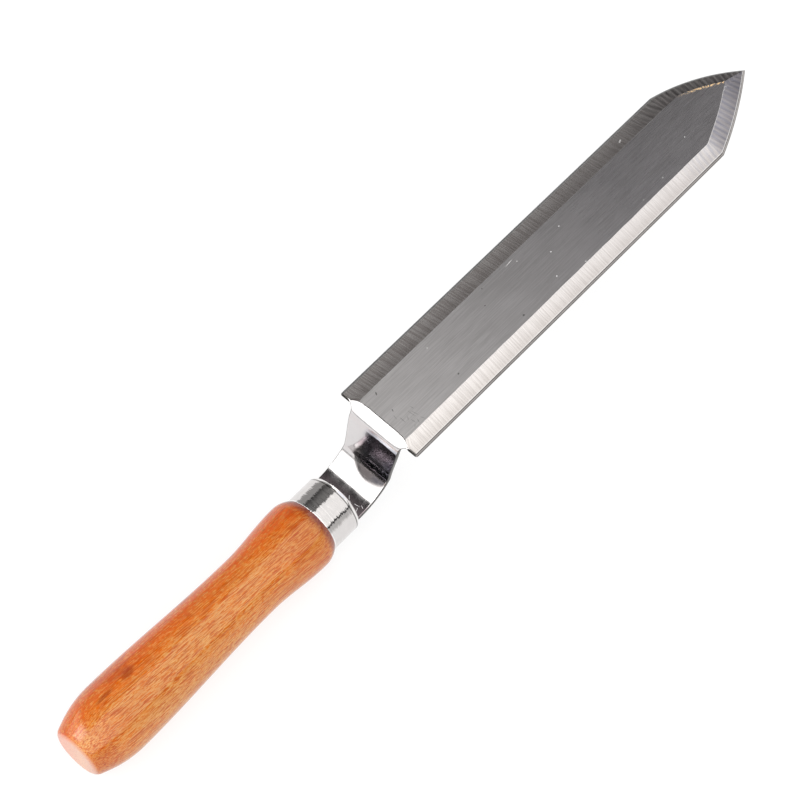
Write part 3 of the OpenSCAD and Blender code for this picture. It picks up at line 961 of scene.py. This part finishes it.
def set_resin():
    """Cloudy yellow-brown resin, hidden inside the handle."""
    s = Shader("set_resin")
    cloud = s.noise(s.place((200, 200, 200)), detail=2)
    s.set(
        Base_Color=s.mix(cloud, rgb(0.55, 0.38, 0.16), rgb(0.66, 0.50, 0.26)),
        Roughness=s.remap(cloud, 0.3, 0.7, 0.35, 0.5),
        Normal=s.bump(cloud, 0.1, 0.0002),
    )
    return s.material


# ---------------------------------------------------------------- pieces on the frame

blade = make_blade()
for material in (
    neck_steel(),
    # Painted shade and reflection: dark strip edges with a lighter line.
    hone_steel("rolled_edge", rgb(0.10, 0.095, 0.09), rgb(0.24, 0.23, 0.225)),
    flat_steel("satin_flat", True),
    # Both bevels are one steel: the tints towards the tip and across the width given here are painted
    # reflection.
    bevel_steel(
        "left_bevel_ground", LEFT, (rgb(1.0, 0.95, 0.93), rgb(0.72, 0.66, 0.64)),
        rgb(0.62, 0.62, 0.63), rgb(0.74, 0.73, 0.73), rgb(0.45, 0.45, 0.46), 0.26, 0.13, 0.10,
    ),
    bevel_steel(
        "right_bevel_ground", RIGHT, (rgb(0.93, 0.885, 0.86), rgb(0.80, 0.755, 0.73)),
        rgb(0.80, 0.80, 0.82), rgb(0.84, 0.83, 0.82), rgb(0.72, 0.75, 0.83), 0.2, 0.13, 0.09,
    ),
    # Painted reflection: the left honed edge is near black.
    hone_steel("left_honed_edge_painted_dark", rgb(0.04, 0.04, 0.04), rgb(0.10, 0.10, 0.10)),
    # Painted reflection: the right honed edge is darkened, with a lighter line.
    hone_steel("right_honed_edge", rgb(0.16, 0.145, 0.14), rgb(0.50, 0.47, 0.455)),
    flat_steel("satin_back", False),
):
    blade.data.materials.append(material)
handle = make_handle()
handle.data.materials.append(varnished_wood())
ferrule = make_ferrule()
ferrule.data.materials.append(ferrule_plate())

for piece, node, slot in (
    (blade, "blade", "blade_steel"),
    (ferrule, "ferrule", "ferrule_plate"),
    (handle, "handle", "handle_wood"),
):
    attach(piece, "root")
    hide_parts(node)

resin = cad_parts["tang_adhesive"]
resin.data.materials.clear()
resin.data.materials.append(set_resin())


# ---------------------------------------------------------------- stage, light and camera

def make_floor():
    """A pale floor with a glow of its own near the knife, which fades towards the far side."""
    half = 12.0
    verts = [(-half, -half, 0), (half, -half, 0), (half, half, 0), (-half, half, 0)]
    floor = object_from("floor", verts, [(0, 1, 2, 3)])
    s = Shader("pale_floor")
    mottle = s.noise(s.place((6, 6, 6)), detail=2)
    s.set(
        Base_Color=s.mix(mottle, rgb(0.24, 0.24, 0.24), rgb(0.26, 0.26, 0.26)),
        Roughness=0.9,
        Specular_IOR_Level=0.0,
        Emission_Color=rgb(1, 1, 1),
        Emission_Strength=s.remap(s.axis("Y"), 0.62, 0.80, 0.78, 0.20),
    )
    floor.data.materials.append(s.material)


def make_studio_light():
    """A soft white room: a dim ceiling strip, a dark band, a dim far wall and one brighter lamp.

    A place on the ceiling is given by how far along the knife (u) and how far across it (w) the light
    comes from, both per unit of height. So u = 0, w = 0 is straight above.
    """
    world = bpy.data.worlds.new("studio")
    bpy.context.scene.world = world
    world.use_nodes = True
    world.node_tree.nodes.clear()
    sky = Nodes(world.node_tree)

    def both(a, b):
        return sky.math("MULTIPLY", a, b)

    direction = sky.node("ShaderNodeTexCoord").outputs["Generated"]
    split = sky.node("ShaderNodeSeparateXYZ", {"Vector": direction})
    x, y, z = (split.outputs[name] for name in "XYZ")
    height = sky.math("MAXIMUM", z, 0.02)
    u = sky.math("DIVIDE", x, height)
    w = sky.math("DIVIDE", y, height)

    ahead = sky.remap(u, -0.75, -0.32)
    beside = sky.remap(w, 0.17, 0.21)
    near = sky.remap(w, 1.55, 1.85)
    strip = both(both(beside, sky.math("SUBTRACT", 1.0, near)), ahead)
    strip_level = both(sky.remap(w, 0.3, 1.5, 0.23, 0.07), sky.remap(u, -0.3, 0.42, 0.22, 1.0))
    far_side = both(near, ahead)
    low_right = sky.remap(w, -2.3, -1.95, 1.0, 0.0)
    dark_band = both(sky.remap(w, -2.3, -2.1), sky.remap(w, -1.65, -1.5, 1.0, 0.0))
    lamp_along = both(sky.remap(u, -0.88, -0.75), sky.remap(u, -0.55, -0.44, 1.0, 0.0))
    lamp = both(lamp_along, both(sky.remap(w, 0.1, 0.3), sky.remap(w, 1.1, 1.35, 1.0, 0.0)))

    level = sky.blend(far_side, sky.remap(u, -0.5, 0.3, 2.0, 1.2), 0.36)
    level = sky.blend(low_right, level, 0.62)
    level = sky.blend(dark_band, level, 0.02)
    level = sky.blend(strip, level, strip_level)
    level = sky.blend(lamp, level, 6.0)
    horizon = sky.blend(sky.remap(w, 1.0, 3.0), 0.95, 0.45)
    level = sky.blend(sky.remap(z, 0.02, 0.14), horizon, level)
    background = sky.node("ShaderNodeBackground", {"Color": (1, 0.995, 0.985, 1), "Strength": level})
    sky.node("ShaderNodeOutputWorld", {"Surface": background.outputs[0]})


CAMERA_AZIMUTH, CAMERA_ELEVATION = math.radians(-56.18), math.radians(62.49)
CAMERA_ROLL = math.radians(8.86)
CAMERA_DISTANCE = 1.0292
CAMERA_TARGET = Vector((-0.0035, 0.0117, AXIS_Z))


def make_camera():
    """Looks down the knife from behind the butt: angle, roll and distance set its perspective."""
    data = bpy.data.cameras.new("camera")
    camera = bpy.data.objects.new("camera", data)
    bpy.context.scene.collection.objects.link(camera)
    back = Vector((
        math.sin(CAMERA_AZIMUTH) * math.cos(CAMERA_ELEVATION),
        -math.cos(CAMERA_AZIMUTH) * math.cos(CAMERA_ELEVATION),
        math.sin(CAMERA_ELEVATION),
    ))
    right = (-back).cross(Vector((0, 0, 1))).normalized()
    up = right.cross(-back)
    turned_right = right * math.cos(CAMERA_ROLL) + up * math.sin(CAMERA_ROLL)
    turned_up = up * math.cos(CAMERA_ROLL) - right * math.sin(CAMERA_ROLL)
    rows = []
    for i in range(3):
        place = CAMERA_TARGET[i] + back[i] * CAMERA_DISTANCE
        rows.append((turned_right[i], turned_up[i], back[i], place))
    camera.matrix_world = Matrix((*rows, (0, 0, 0, 1)))
    data.sensor_width = 36
    data.lens = 113.9
    bpy.context.scene.camera = camera


make_floor()
make_studio_light()
make_camera()
bpy.context.scene.view_settings.view_transform = "Standard"
